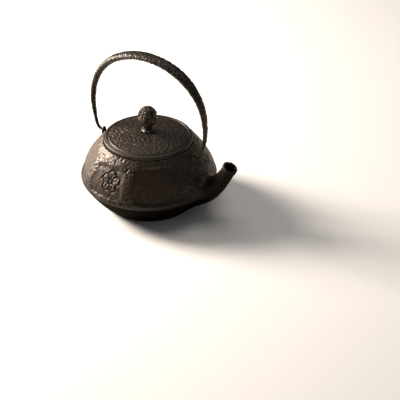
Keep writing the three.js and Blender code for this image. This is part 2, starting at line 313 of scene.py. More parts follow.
def lumps(points, size, seed, stretch=(1, 1, 1)):
    """Smooth noise between -1 and 1, its lumps about size millimetres across."""
    shift = Vector((seed * 17.31, seed * -5.13, seed * 11.77))
    scaled = np.asarray(points) / (size * np.array(stretch))
    return np.array([noise.noise(Vector(p) + shift) for p in scaled])


def ridges(points, size, seed):
    """Winding raised lines, as the sand leaves: 1 on a line and about -1 between them."""
    return 1 - 3.2 * np.abs(lumps(points, size, seed))


def pits(points, spacing, radius, share, seed):
    """1 in the middle of each round pit and 0 outside it. Only a share of the places has a pit."""
    shift = Vector((seed * 7.7, seed * 3.1, seed * -9.3))
    found = np.zeros(len(points))
    for i, p in enumerate(points):
        distances, centres = noise.voronoi(Vector(p) / spacing + shift)
        if noise.noise(centres[0] * 5.3) > 1 - 2 * share:
            found[i] = max(0, 1 - (distances[0] * spacing / radius) ** 2)
    return found


def beside_line(points, line):
    """Distance from each point to a line of points, negative on the line's left."""
    start, end = line[:-1], line[1:]
    step = end - start
    nearest = np.full(len(points), np.inf)
    for a, s in zip(start, step):
        t = np.clip((points - a) @ s / (s @ s), 0, 1)
        gap = points - a - t[:, None] * s
        length = np.linalg.norm(gap, axis=1)
        side = np.sign(gap[:, 0] * s[1] - gap[:, 1] * s[0])
        closer = length < np.abs(nearest)
        nearest[closer] = (length * np.where(side == 0, 1, side))[closer]
    return nearest


def cubic(a, b, c, d, t):
    """A point on a cubic curve."""
    t = np.asarray(t)[..., None]
    a, b, c, d = (np.array(p, float) for p in (a, b, c, d))
    return (1 - t) ** 3 * a + 3 * t * (1 - t) ** 2 * b + 3 * t**2 * (1 - t) * c + t**3 * d


outer_wall = outline(
    (0, 0),
    ((54.5, 0),),
    ((56.8, 1.8),),
    ((68.5, 12.8), (80, BELLY_HEIGHT - 4.2)),
    ((83.4, BELLY_HEIGHT), (81.6, BELLY_HEIGHT + 4.5)),
    ((77.3, 60.4), (LIP_RADIUS, LIP_HEIGHT)),
    ((54.3, 82.9),),
    ((LEDGE_RADIUS, 82.4),),
    ((LEDGE_RADIUS, LEDGE_HEIGHT),),
    ((STEP_RADIUS, LEDGE_HEIGHT),),
    ((STEP_RADIUS, STEP_HEIGHT),),
    ((0, STEP_HEIGHT),),
    spacing=1.05,
)
hollow = outline(
    (0, POT_FLOOR),
    ((51, POT_FLOOR),),
    ((64.6, 12.4), (76.2, 30.4)),
    ((79.2, 35), (77.6, 39.5)),
    ((73.7, 57.8), (58, 73)),
    ((45, 73.4),),
    ((MOUTH_RADIUS, 74.8),),
    ((MOUTH_RADIUS, 85),),
    ((0, 85),),
    spacing=3,
)
share = np.linspace(0, 1, 46)
spout_line = cubic(*SPOUT_PATH, share)
spout_radius = (
    SPOUT_RADII[0]
    + (SPOUT_RADII[1] - SPOUT_RADII[0]) * smooth_step(0.05, 0.86, share)
    + (SPOUT_RADII[2] - SPOUT_RADII[1]) * smooth_step(0.9, 1, share)
)
bore_line = cubic(*SPOUT_PATH[:3], (112.5, 76.9), share)
bore_radius = BORE_RADII[0] + (BORE_RADII[1] - BORE_RADII[0]) * np.minimum(1, share * 1.25)

pot = turned("teapot_body", outer_wall, POT_TURNS, closed=False)
joined(pot, swept("spout", spout_line, spout_radius, spout_radius, 48), "UNION")
lug_height = np.linspace(62, PIVOT_HEIGHT + LUG_HALF_WIDTH, 22)
lug_end = np.clip((lug_height - PIVOT_HEIGHT) / LUG_HALF_WIDTH, 0, 0.995)
lug_cap = np.sqrt(1 - lug_end**2)
for side in (1, -1):
    path = np.stack([np.full(22, side * LUG_MIDDLE), lug_height], 1)
    flare = 1.6 * (1 - smooth_step(66, PIVOT_HEIGHT, lug_height))
    lug_thick = LUG_HALF_THICKNESS * lug_cap**0.4
    lug_wide = (LUG_HALF_WIDTH + flare) * lug_cap
    joined(pot, swept("lug", path, lug_thick, lug_wide, 28), "UNION")
joined(pot, turned("hollow", hollow, POT_TURNS // 3, closed=False), "DIFFERENCE")
joined(pot, swept("bore", bore_line, bore_radius, bore_radius, 40), "DIFFERENCE")
for side in (1, -1):
    path = np.stack([side * np.linspace(61.2, 68, 8), np.full(8, PIVOT_HEIGHT)], 1)
    pin = np.full(8, LUG_HOLE_RADIUS)
    joined(pot, swept("lug_hole", path, pin, pin, 24), "DIFFERENCE")


def from_blossom(points):
    """Each point's place on the shoulder beside the middle of the blossom: across and up, in mm."""
    turn = np.arctan2(points[:, 1], points[:, 0]) - math.radians(BLOSSOM_TURN)
    across = turn * np.hypot(points[:, 0], points[:, 1])
    return across, (points[:, 2] - BLOSSOM_HEIGHT) * BLOSSOM_SLOPE


def refine(piece, chosen, cuts):
    """Splits the edges that lie among the chosen points, so that carving there comes out sharp."""
    shape = bmesh.new()
    shape.from_mesh(piece.data)
    shape.verts.ensure_lookup_table()
    wanted = set(np.flatnonzero(chosen).tolist())
    edges = [e for e in shape.edges if all(v.index in wanted for v in e.verts)]
    bmesh.ops.subdivide_edges(shape, edges=edges, cuts=cuts, use_grid_fill=True)
    shape.to_mesh(piece.data)
    shape.free()
    piece.data.shade_smooth()


points, _ = places_of(pot)
across, up = from_blossom(points)
refine(pot, (np.hypot(across, up) < 18) & (np.hypot(points[:, 0], points[:, 1]) > 62), 1)
points, _ = places_of(pot)

# The mould's round corners: the spout and the lugs run into the body with a fillet.
body_line = outer_wall[: np.argmax(outer_wall[:, 1] >= LIP_HEIGHT) + 1]


def blended(first, second, fillet):
    """The nearer of two distances, with a round fillet where they are alike."""
    mix = np.clip(0.5 + 0.5 * (second - first) / fillet, 0, 1)
    return second + (first - second) * mix - fillet * mix * (1 - mix)


def outside_casting(points):
    """Distance outside the body and spout, run together by the fillet."""
    body = beside_line(np.stack([np.hypot(points[:, 0], points[:, 1]), points[:, 2]], 1), body_line)
    off_line = points[:, None] - np.insert(spout_line, 1, 0, axis=1)[None]
    spout = (np.linalg.norm(off_line, axis=2) - spout_radius).min(1)
    return blended(body, spout, SPOUT_FILLET)


radius = np.hypot(points[:, 0], points[:, 1])
turn = np.degrees(np.arctan2(points[:, 1], points[:, 0]))
height = points[:, 2]
bore_gap = np.linalg.norm(points[:, None] - np.insert(bore_line, 1, 0, axis=1)[None, ::3], axis=2)
in_bore = (bore_gap - bore_radius[::3]).min(1) < 0.5
hollow_gap = beside_line(np.stack([radius, height], 1), hollow[:-2])
inner = (hollow_gap < 0.5) | in_bore | ((height > 76) & (radius < LEDGE_RADIUS + 0.4))
near_spout = (points[:, 0] > 40) & (np.abs(points[:, 1]) < 34) & ~inner
near_spout &= (height < 74) & (height > 4)
for _ in range(4):
    zone = points[near_spout]
    gap = outside_casting(zone)
    nudges = [outside_casting(zone + step) - gap for step in np.eye(3) * 0.05]
    slope = np.stack(nudges, 1) / 0.05
    slope /= np.maximum(np.linalg.norm(slope, axis=1)[:, None], 0.5)
    points[near_spout] -= slope * gap[:, None]
place(pot, points)
points, normals = places_of(pot)

# The casting's skin: sunk panels, worm-like sand grain on the rest, blow-hole pits and the blossom.
warped = turn + 1.6 * lumps(points, 14, 1)
sunk = np.zeros(len(points))
flat = np.zeros(len(points))
for middle, half, panel_height, half_height in PANELS:
    across_panel = (np.abs(warped) - middle) / half
    up_panel = (height + 1.2 * lumps(points, 9, 2) - panel_height) / half_height
    edge = (np.abs(across_panel) ** 5 + np.abs(up_panel) ** 5) ** 0.2
    inside = 1 - smooth_step(0.8, 1.04, edge)
    sunk = np.maximum(sunk, inside)
    flat = np.maximum(flat, inside * np.clip(1.1 - across_panel**2, 0, 1))

shoulder = smooth_step(33, 38, height)
spout_skin = smooth_step(80, 92, radius) * (np.abs(points[:, 1]) < 22)
rough = (1 - 0.65 * sunk) * (0.4 + 0.6 * shoulder) * (1 - 0.65 * spout_skin)
worms = ridges(points, 2.6, 3)
coarse = lumps(points, 7.5, 4)
fine = lumps(points, 2.2, 5)
small_holes = 0.6 * pits(points, 3.6, 1.2, 0.4, 17)
holes = np.maximum(pits(points, 5, 1.9, 0.42, 6), small_holes)
holes = holes * (0.4 + 0.6 * (1 - sunk)) * shoulder

across, up = from_blossom(points)
across = across + 0.5 * lumps(points, 3.2, 7)
up = up + 0.5 * lumps(points, 3.2, 10)
reach = np.hypot(across, up)
petal_gap = []
for petal in range(PETALS):
    lean = math.radians(90 + 360 / PETALS * petal)
    petal_across, petal_up = PETAL_RING * math.cos(lean), PETAL_RING * math.sin(lean)
    petal_gap.append(np.hypot(across - petal_across, up - petal_up) - PETAL_RADIUS)
petal_gap = np.sort(np.array(petal_gap), axis=0)
rim_line = np.exp(-((petal_gap[0] / 0.85) ** 2))
between = np.exp(-(((petal_gap[1] - petal_gap[0]) / 1.1) ** 2))
between *= (petal_gap[0] < 0) & (reach > BLOSSOM_HEART)
heart = np.exp(-(((reach - BLOSSOM_HEART) / 0.75) ** 2))
off_ray = np.abs(np.sin(PETALS / 2 * (np.arctan2(up, across) - math.pi / 2)))
stamens = np.exp(-((off_ray * reach / 1.7) ** 2))
stamens *= smooth_step(3.4, 4.2, reach) * smooth_step(9.8, 8.8, reach)
carved = np.clip(np.maximum.reduce([rim_line, between, heart, 0.8 * stamens]), 0, 1)
on_blossom = (reach < BLOSSOM_EDGE) & (radius > 60)
carved *= on_blossom
petals = smooth_step(0.2, -2.5, petal_gap[0]) * on_blossom

outside = np.where(inner, 0, 1) * smooth_step(-0.1, 1.2, height)
front = 0.2 + 0.8 * (points[:, 1] < 0)  # the panels on the +Y side are shallower
lift = -SKIN - front * sunk * (PANEL_DEPTH + PANEL_FLATTENING * flat)
lift = lift + rough * (0.45 * worms + 0.6 * coarse + 0.6 * fine) + 0.25 * lumps(points, 17, 9)
lift = lift - 1.4 * holes - 1.3 * carved + 0.4 * petals
lift = np.minimum(lift, -SKIN_CLEARANCE) * outside + 0.12 * petals * outside
lift = lift + np.where(inner, 0.05 * lumps(points, 4, 8), 0) * (height > 6) * (height < 74)
points = points + normals * lift[:, None]
points[:, 2] = np.maximum(points[:, 2], 0)
place(pot, points)
# Painted shade: the pits, the blossom's carved lines and the gaps between the sand's ridges are
# darkened near black through the hollow mark.
deep = 0.9 * holes + carved + 0.3 * np.maximum(-worms, 0) * rough
high = rough * (0.5 + 0.5 * worms) + 0.5 * petals * (1 - carved)
store(pot, "hollow", np.clip(deep, 0, 1) * outside)
store(pot, "raised", np.clip(high, 0, 1) * outside)
# Painted shade: the pot is darkened near black and dulled below its belly, and partly round the
# belly's widest part and on the spout.
soot = smooth_step(BELLY_HEIGHT + 2, BELLY_HEIGHT - 6, points[:, 2])
tea_stain = 0.75 * smooth_step(74, 90, radius) * smooth_step(80, 70, points[:, 2])
soot = np.maximum(soot, tea_stain) * outside
from_lug = (np.abs(points[:, 0]) - LUG_MIDDLE, points[:, 1], points[:, 2] - LUG_FOOT_HEIGHT)
lug_gap = np.linalg.norm(from_lug, axis=0)
rust = smooth_step(34, 6, lug_gap) * smooth_step(-0.5, 0.3, lumps(points, 8, 16)) * outside
store(pot, "rust", rust)
store(pot, "soot", soot)


def iron_skin(
    name, dark, brown, worn, grit, roughness, metallic=0.35, lacquer=0.22, fire_marks=False
):
    """Grey iron, brown-black and matt: greyer where its high spots are worn, with painted shade
    near black in its pits, creases and gaps, and small soft glints from a thin lacquer. It can
    also be tinted by rust, and darkened and dulled by painted shade under and round the pot's
    belly and on its spout. grit is the sand's grain in millimetres, drawn coarser than the real
    0.3 mm so that it shows."""
    material, tree = new_material(name)
    position = add_node(tree, "ShaderNodeTexCoord").outputs["Object"]
    stain = add_node(
        tree, "ShaderNodeTexNoise", {"Vector": position, "Scale": 1 / (28 * MM), "Detail": 3.0}
    )
    speck = add_node(
        tree, "ShaderNodeTexNoise", {"Vector": position, "Scale": 1 / (grit * MM), "Detail": 4.0}
    )
    raised = add_node(tree, "ShaderNodeAttribute", attribute_name="raised")
    stained = add_node(
        tree,
        "ShaderNodeMapRange",
        {"Value": stain.outputs["Fac"], "From Min": 0.38, "From Max": 0.66},
    )
    ground = add_node(
        tree,
        "ShaderNodeMix",
        {0: stained.outputs["Result"], 6: linear(dark), 7: linear(brown)},
        data_type="RGBA",
    )
    specks = add_node(
        tree,
        "ShaderNodeMapRange",
        {"Value": speck.outputs["Fac"], "From Min": 0.5, "From Max": 0.68},
    )
    wear = add_node(
        tree,
        "ShaderNodeMath",
        {0: raised.outputs["Fac"], 1: specks.outputs["Result"]},
        operation="MULTIPLY",
    )
    weathered = add_node(
        tree,
        "ShaderNodeMix",
        {0: wear.outputs["Value"], 6: ground.outputs[2], 7: linear(worn)},
        data_type="RGBA",
    )
    colour = weathered.outputs[2]
    # The hollow mark is painted shade: it darkens pits, creases and gaps near black.
    marks = [("hollow", "#0b0806")]
    if fire_marks:
        # On the pot, rust is the iron's own colour. The near-black coat after it is painted shade
        # under and round the belly and on the spout.
        marks = [("rust", "#33261a")] + marks + [("soot", "#0a0604")]
    for mark, mark_colour in marks:
        where = add_node(tree, "ShaderNodeAttribute", attribute_name=mark)
        marked = add_node(
            tree,
            "ShaderNodeMix",
            {0: where.outputs["Fac"], 6: colour, 7: linear(mark_colour)},
            data_type="RGBA",
        )
        colour = marked.outputs[2]
    shine = add_node(
        tree,
        "ShaderNodeMapRange",
        {
            "Value": wear.outputs["Value"],
            "To Min": roughness + 0.08,
            "To Max": roughness - 0.2,
        },
    )
    bump = add_node(
        tree,
        "ShaderNodeBump",
        {"Strength": 0.8, "Distance": 0.4 * MM, "Height": speck.outputs["Fac"]},
    )
    finish = {
        "Base Color": colour,
        "Metallic": metallic,
        "Roughness": shine.outputs["Result"],
        "Specular IOR Level": 0.5,
        "Specular Tint": linear("#f6e6d4"),
        "Coat Weight": lacquer,
        "Coat Roughness": 0.27,
        "Coat Normal": bump.outputs["Normal"],
        "Normal": bump.outputs["Normal"],
    }
    if fire_marks:
        # Where the painted shade lies, the finish is also made rough, with almost no specular and
        # no lacquer coat.
        soot = add_node(tree, "ShaderNodeAttribute", attribute_name="soot")
        sooty = {"Roughness": 0.85, "Specular IOR Level": 0.03, "Coat Weight": 0.0}
        for socket, value in sooty.items():
            dulled = add_node(
                tree,
                "ShaderNodeMapRange",
                {"Value": soot.outputs["Fac"], "To Min": finish[socket], "To Max": value},
            )
            finish[socket] = dulled.outputs["Result"]
    shader = add_node(tree, "ShaderNodeBsdfPrincipled", finish)
    add_node(tree, "ShaderNodeOutputMaterial", {"Surface": shader.outputs["BSDF"]})
    return material


def black_enamel():
    """Black vitreous enamel, fired inside the pot: glossy, slightly uneven, over the iron."""
    material, tree = new_material("black_enamel_fired")
    position = add_node(tree, "ShaderNodeTexCoord").outputs["Object"]
    orange_peel = add_node(
        tree, "ShaderNodeTexNoise", {"Vector": position, "Scale": 1 / (3 * MM), "Detail": 2.0}
    )
    tint = add_node(
        tree,
        "ShaderNodeMix",
        {0: orange_peel.outputs["Fac"], 6: linear("#14120f"), 7: linear("#201d19")},
        data_type="RGBA",
    )
    bump = add_node(
        tree,
        "ShaderNodeBump",
        {"Strength": 0.3, "Distance": 0.2 * MM, "Height": orange_peel.outputs["Fac"]},
    )
    shader = add_node(
        tree,
        "ShaderNodeBsdfPrincipled",
        {
            "Base Color": tint.outputs[2],
            "Roughness": 0.22,
            "IOR": 1.52,
            "Normal": bump.outputs["Normal"],
        },
    )
    add_node(tree, "ShaderNodeOutputMaterial", {"Surface": shader.outputs["BSDF"]})
    return material


pot.data.materials.clear()
pot.data.materials.append(
    iron_skin(
        "cast_iron_lacquered", "#1a110b", "#2a1c12", "#64584a", 1.6, 0.47, fire_marks=True
    )
)
pot.data.materials.append(black_enamel())
enamelled = (hollow_gap < 0.5) & (height < ENAMEL_TOP)
for face in pot.data.polygons:
    face.material_index = int(all(enamelled[v] for v in face.vertices))
pot.data.shade_smooth()
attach(pot, "pot")
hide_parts("pot_body")


# ---- Lid ----
# A shallow domed plate cast from the same iron, stippled on top inside a plain round-edged band.
# A deep collar under it stands in the pot's mouth and keeps the lid on while the pot is tipped.
LID_TURNS = 360
LID_RADIUS = 53.3
LID_BAND = 5.2
LID_EDGE_TOP = 86.8
LID_EDGE_BOTTOM = 79.5
LID_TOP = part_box("lid")[1].z / MM
COLLAR_RADIUS = 38.6
COLLAR_INSIDE = COLLAR_RADIUS - 2.4
COLLAR_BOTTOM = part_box("lid")[0].z / MM
SCREW_HOLE = 2.9
band_edge = LID_RADIUS - LID_BAND

lid_under = outline(
    (SCREW_HOLE, LID_TOP - 3.3),
    ((8.5, LID_TOP - 3.3),),
    ((26, 89.7), (COLLAR_RADIUS - 3.4, 86)),
    ((COLLAR_INSIDE, 85.6), (COLLAR_INSIDE, 84.4)),
    ((COLLAR_INSIDE, COLLAR_BOTTOM + 0.7),),
    ((COLLAR_INSIDE, COLLAR_BOTTOM), (COLLAR_RADIUS - 1.6, COLLAR_BOTTOM)),
    ((COLLAR_RADIUS, COLLAR_BOTTOM), (COLLAR_RADIUS, COLLAR_BOTTOM + 1.4)),
    ((COLLAR_RADIUS, 78.7),),
    ((COLLAR_RADIUS, LID_EDGE_BOTTOM), (COLLAR_RADIUS + 0.8, LID_EDGE_BOTTOM)),
    ((LID_RADIUS - 1.2, LID_EDGE_BOTTOM),),
    spacing=2.2,
)
lid_top = outline(
    (LID_RADIUS - 1.2, LID_EDGE_BOTTOM),
    ((LID_RADIUS, LID_EDGE_BOTTOM), (LID_RADIUS, LID_EDGE_BOTTOM + 1.2)),
    ((LID_RADIUS, LID_EDGE_TOP - 2.4),),
    ((LID_RADIUS, LID_EDGE_TOP - 0.1), (LID_RADIUS - 2.2, LID_EDGE_TOP + 0.05)),
    ((band_edge + 1.4, LID_EDGE_TOP + 0.9),),
    ((band_edge + 0.6, LID_EDGE_TOP + 1), (band_edge, LID_EDGE_TOP - 0.2)),
    ((band_edge - 0.4, LID_EDGE_TOP + 0.9), (band_edge - 1.2, LID_EDGE_TOP + 1.2)),
    ((24, LID_TOP), (SCREW_HOLE + 0.4, LID_TOP)),
    ((SCREW_HOLE, LID_TOP), (SCREW_HOLE, LID_TOP - 0.4)),
    spacing=0.75,
)
lid = turned("teapot_lid", np.concatenate([lid_under, lid_top[1:]]), LID_TURNS)
points, normals = places_of(lid)
radius = np.hypot(points[:, 0], points[:, 1])
upper = (normals[:, 2] > 0.3) & (points[:, 2] > LID_EDGE_TOP - 3)
stippled = smooth_step(band_edge - 0.4, band_edge - 2, radius) * upper * smooth_step(4, 7, radius)
worms = ridges(points, 2.2, 11)
grains = lumps(points, 2.1, 12)
swell = lumps(points, 9, 13)
holes = pits(points, 3.6, 1.2, 0.38, 14) * stippled
lift = stippled * (0.38 * worms + 0.5 * grains + 0.3 * swell - 0.3) - 0.5 * holes
lift = lift + (1 - stippled) * (0.07 * lumps(points, 3, 15) - 0.07) * (points[:, 2] > 79.6)
place(lid, points + normals * lift[:, None])
# Painted shade: the groove inside the band, the lid's outer side beside the pot's lip, and the pits
# and gaps of the stipple are darkened through the hollow mark.
groove = np.exp(-(((radius - band_edge) / 0.8) ** 2)) * upper
side = smooth_step(LID_EDGE_TOP - 1.5, LID_EDGE_TOP - 3.5, points[:, 2])
side = side * (radius > LID_RADIUS - 0.4)
shade = holes + 0.5 * np.maximum(-worms - 0.2, 0) * stippled + 0.9 * groove + 0.8 * side
store(lid, "hollow", np.clip(shade, 0, 1))
high = stippled * (0.55 * worms + 0.5 * grains + 0.2) + 0.35 * (1 - stippled)
store(lid, "raised", np.clip(high, 0, 1))
# Stippled by the mould's punched sand: dark, with a fine grey sparkle on the stipple's tops.
lid.data.materials.append(
    iron_skin("cast_iron_stippled", "#140c07", "#1e140c", "#4e4336", 1.6, 0.46)
)
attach(lid, "lid")
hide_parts("lid")


# ---- Knob ----
# A round iron knob on a short neck, cast with deep upright wrinkles like a walnut. A blind hole
# up its middle takes the screw.
KNOB_RADIUS = 11.2
KNOB_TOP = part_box("knob")[1].z / MM
KNOB_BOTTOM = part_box("knob")[0].z / MM
KNOB_MIDDLE = KNOB_TOP - 12.3
KNOB_HOLE = 2.75
KNOB_HOLE_TOP = 106.6
KNOB_NECK_TURN = 1.1  # radians below its middle, where the egg runs into the neck
rise = np.linspace(-KNOB_NECK_TURN, math.pi / 2, 70)[1:]
knob_egg = np.stack(
    [
        KNOB_RADIUS * np.cos(rise),
        KNOB_MIDDLE + (KNOB_TOP - KNOB_MIDDLE) * np.sin(rise),
    ],
    1,
)
knob_foot = outline(
    (0, KNOB_HOLE_TOP),
    ((KNOB_HOLE, KNOB_HOLE_TOP),),
    ((KNOB_HOLE, KNOB_BOTTOM),),
    ((5.4, KNOB_BOTTOM),),
    ((6, KNOB_BOTTOM), (5.9, KNOB_BOTTOM + 0.6)),
    ((4.9, 98.4), knob_egg[0]),
    spacing=0.6,
)
knob = turned("lid_knob", np.concatenate([knob_foot, knob_egg]), 220, closed=False)
points, normals = places_of(knob)
radius = np.hypot(points[:, 0], points[:, 1])
bent = points + 1.3 * np.stack([lumps(points, 5, s) for s in (21, 22, 23)], 1)
wrinkles = 1 - 3.4 * np.abs(lumps(bent, 3.1, 24, (1, 1, 2.6)))
creases = 1 - 3.2 * np.abs(lumps(bent, 2.6, 25, (1.6, 1.6, 0.9)))
egg = smooth_step(98.5, 101.5, points[:, 2]) * (radius > 3.2)
egg = np.maximum(egg, points[:, 2] > KNOB_MIDDLE + 5)
lift = egg * (1.15 * wrinkles + 0.5 * creases + 0.35 * lumps(points, 7, 26) - 0.2)
place(knob, points + normals * np.minimum(lift, np.where(points[:, 2] > 123, 0, 0.6))[:, None])
# Painted shade: the creases, and the neck and underside below the egg, are darkened near black. The
# pale ridges are partly painted highlight.
under = smooth_step(103, 99, points[:, 2])
store(knob, "hollow", np.maximum(np.clip(-0.9 * wrinkles, 0, 1) * egg, under))
store(knob, "raised", np.clip(1.3 * wrinkles + 0.5 * creases, 0, 1) * egg)
# Rubbed by the hand that lifts it: pale ridges, partly wear and partly painted highlight, over
# creases darkened near black by painted shade.
knob.data.materials.append(
    iron_skin("cast_iron_wrinkled", "#140d08", "#23180f", "#94866e", 1.3, 0.3)
)
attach(knob, "lid")
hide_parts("knob")


# ---- Knob seat ----
# A small domed iron washer between the knob and the lid. Its edge is filed into soft lobes and its
# top is burnished bright by the knob.
SEAT_RADIUS = 8
SEAT_LOBES = 8
seat_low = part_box("knob_seat")[0].z / MM
seat_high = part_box("knob_seat")[1].z / MM
seat_profile = outline(
    (SCREW_HOLE, seat_low),
    ((SEAT_RADIUS - 0.6, seat_low),),
    ((SEAT_RADIUS, seat_low), (SEAT_RADIUS, seat_low + 0.5)),
    ((SEAT_RADIUS - 0.4, seat_high - 0.5), (SEAT_RADIUS - 2.4, seat_high - 0.1)),
    ((4, seat_high), (SCREW_HOLE + 0.3, seat_high)),
    ((SCREW_HOLE, seat_high), (SCREW_HOLE, seat_high - 0.3)),
    spacing=0.35,
)
seat = turned("knob_seat_washer", seat_profile, 160)
points, normals = places_of(seat)
radius = np.hypot(points[:, 0], points[:, 1])
lobe = 0.5 - 0.5 * np.cos(SEAT_LOBES * np.arctan2(points[:, 1], points[:, 0]))
scale = 1 - 0.07 * lobe * smooth_step(4, SEAT_RADIUS, radius)
points[:, :2] *= scale[:, None]
points[:, 2] -= 0.35 * lobe * smooth_step(4.5, 7.5, radius) * (points[:, 2] > seat_low + 0.8)
place(seat, points)
# Painted shade: the dips between the edge's lobes are darker, and less bright grey than the
# burnished top.
store(seat, "hollow", lobe * smooth_step(5, 8, radius) * 0.3)
store(seat, "raised", np.clip(0.8 - 0.3 * lobe + 0.2 * lumps(points, 2, 31), 0, 1))
# Burnished by the knob that turns on it: bare grey metal that catches the light.
seat.data.materials.append(
    iron_skin("iron_burnished", "#494540", "#57534d", "#9c978f", 0.5, 0.36, metallic=0.85)
)
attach(seat, "lid")
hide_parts("knob_seat")


# ---- Knob screw and washer ----
# A stainless machine screw comes up through a flat washer, the lid and the seat into the knob. It
# has a slotted pan head under the lid and a rolled thread.
SCREW_RADIUS = 2.4
THREAD_PITCH = 0.8
THREAD_DEPTH = 0.3
SLOT_HALF_WIDTH = 0.6
SLOT_DEPTH = 1.3
WASHER_HOLE_RADIUS = 2.8
WASHER_RADIUS = 7.15
head_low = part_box("knob_screw")[0].z / MM
screw_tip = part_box("knob_screw")[1].z / MM
head_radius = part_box("knob_screw")[1].x / MM


def spun_steel():
    """Stainless steel spun or turned on a lathe: bright grey with fine rings round its axis. The
    real rings are under 0.1 mm apart and are drawn 0.5 mm apart so that they show."""
    material, tree = new_material("stainless_steel_spun")
    position = add_node(tree, "ShaderNodeTexCoord").outputs["Object"]
    flat = add_node(
        tree, "ShaderNodeVectorMath", {0: position, 1: (1, 1, 0)}, operation="MULTIPLY"
    )
    radius = add_node(
        tree, "ShaderNodeVectorMath", {0: flat.outputs["Vector"]}, operation="LENGTH"
    )
    height = add_node(tree, "ShaderNodeSeparateXYZ", {"Vector": position})
    lines = add_node(
        tree,
        "ShaderNodeCombineXYZ",
        {"X": radius.outputs["Value"], "Y": height.outputs["Z"]},
    )
    rings = add_node(
        tree,
        "ShaderNodeTexNoise",
        {"Vector": lines.outputs["Vector"], "Scale": 1 / (0.5 * MM), "Detail": 2.0},
    )
    cloud = add_node(
        tree, "ShaderNodeTexNoise", {"Vector": position, "Scale": 1 / (12 * MM), "Detail": 2.0}
    )
    tone = add_node(
        tree,
        "ShaderNodeMix",
        {0: rings.outputs["Fac"], 6: linear("#a6a39e"), 7: linear("#cac7c1")},
        data_type="RGBA",
    )
    gloss = add_node(
        tree,
        "ShaderNodeMapRange",
        {"Value": cloud.outputs["Fac"], "To Min": 0.2, "To Max": 0.42},
    )
    bump = add_node(
        tree,
        "ShaderNodeBump",
        {"Strength": 0.25, "Distance": 0.1 * MM, "Height": rings.outputs["Fac"]},
    )
    shader = add_node(
        tree,
        "ShaderNodeBsdfPrincipled",
        {
            "Base Color": tone.outputs[2],
            "Metallic": 1.0,
            "Roughness": gloss.outputs["Result"],
            "Normal": bump.outputs["Normal"],
        },
    )
    add_node(tree, "ShaderNodeOutputMaterial", {"Surface": shader.outputs["BSDF"]})
    return material


screw_head = outline(
    (0, head_low),
    ((head_radius - 1.6, head_low),),
    ((head_radius, head_low), (head_radius, head_low + 1.8)),
    ((head_radius, head_low + 2.7),),
    ((head_radius, head_low + 3), (head_radius - 0.3, head_low + 3)),
    ((SCREW_RADIUS, head_low + 3),),
    spacing=0.25,
)
screw_shank = outline(
    (SCREW_RADIUS, head_low + 3.2),
    ((SCREW_RADIUS, screw_tip - 0.8),),
    ((SCREW_RADIUS - 0.8, screw_tip),),
    ((0, screw_tip),),
    spacing=0.2,
)
screw = turned("lid_knob_screw", np.concatenate([screw_head, screw_shank]), 72, closed=False)
points, _ = places_of(screw)
radius = np.hypot(points[:, 0], points[:, 1])
turn = np.arctan2(points[:, 1], points[:, 0]) / (2 * math.pi)
tooth = np.abs(((points[:, 2] / THREAD_PITCH - turn) % 1) * 2 - 1)
threaded = (points[:, 2] > head_low + 4) & (radius > 1.5)
points[:, :2] *= np.where(threaded, 1 - THREAD_DEPTH * tooth / SCREW_RADIUS, 1)[:, None]
in_slot = (np.abs(points[:, 1]) < SLOT_HALF_WIDTH) & (points[:, 2] < head_low + SLOT_DEPTH)
points[:, 2] = np.where(in_slot, head_low + SLOT_DEPTH, points[:, 2])
place(screw, points)
steel = spun_steel()
screw.data.materials.append(steel)
screw.data.set_sharp_from_angle(angle=math.radians(40))
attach(screw, "lid")
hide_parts("knob_screw")

washer_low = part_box("knob_washer")[0].z / MM
washer_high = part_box("knob_washer")[1].z / MM
washer_profile = outline(
    (WASHER_HOLE_RADIUS, washer_low + 0.15),
    ((WASHER_HOLE_RADIUS + 0.15, washer_low),),
    ((WASHER_RADIUS - 0.25, washer_low),),
    ((WASHER_RADIUS, washer_low), (WASHER_RADIUS, washer_low + 0.3)),
    ((WASHER_RADIUS, washer_high - 0.15),),
    ((WASHER_RADIUS - 0.15, washer_high),),
    ((WASHER_HOLE_RADIUS + 0.15, washer_high),),
    ((WASHER_HOLE_RADIUS, washer_high - 0.15),),
    spacing=0.4,
)
washer = turned("lid_knob_washer", washer_profile, 96)
washer.data.materials.append(steel)
washer.data.set_sharp_from_angle(angle=math.radians(40))
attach(washer, "lid")
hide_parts("knob_washer")


# ---- Bail handle ----
# One iron bar forged by hammer to a wide oval at the grip and drawn down to a round hook at each
# end. The hooks sit loose in the lugs' holes, so the bail swings. Hammer marks stay all over it.
ARCH_RADIUS = 77.8
ARCH_MIDDLE = 114.5
ARCH_RISE = 75.1
ARCH_FULLNESS = 0.585
ARCH_SHIFT = 0.7  # the whole arch leans this far towards the spout
LEG_BEND_TOP = 97
LEG_FOOT = (73.1, 83.2)
HOOK_BEND = 71
HOOK_STRAIGHT = 66.6
HOOK_RADIUS = 1.7
GRIP_HALF_WIDTH = 8.6
GRIP_HALF_THICKNESS = 4.8
HOOK_TIP = 61.6
BAIL_STEPS = 560
BAIL_SIDES = 44


def evenly(path, count):
    """The same line with count points at even distances along it."""
    run = np.concatenate([[0], np.cumsum(np.linalg.norm(np.diff(path, axis=0), axis=1))])
    wanted = np.linspace(0, run[-1], count)
    return np.stack([np.interp(wanted, run, path[:, i]) for i in (0, 1)], 1)


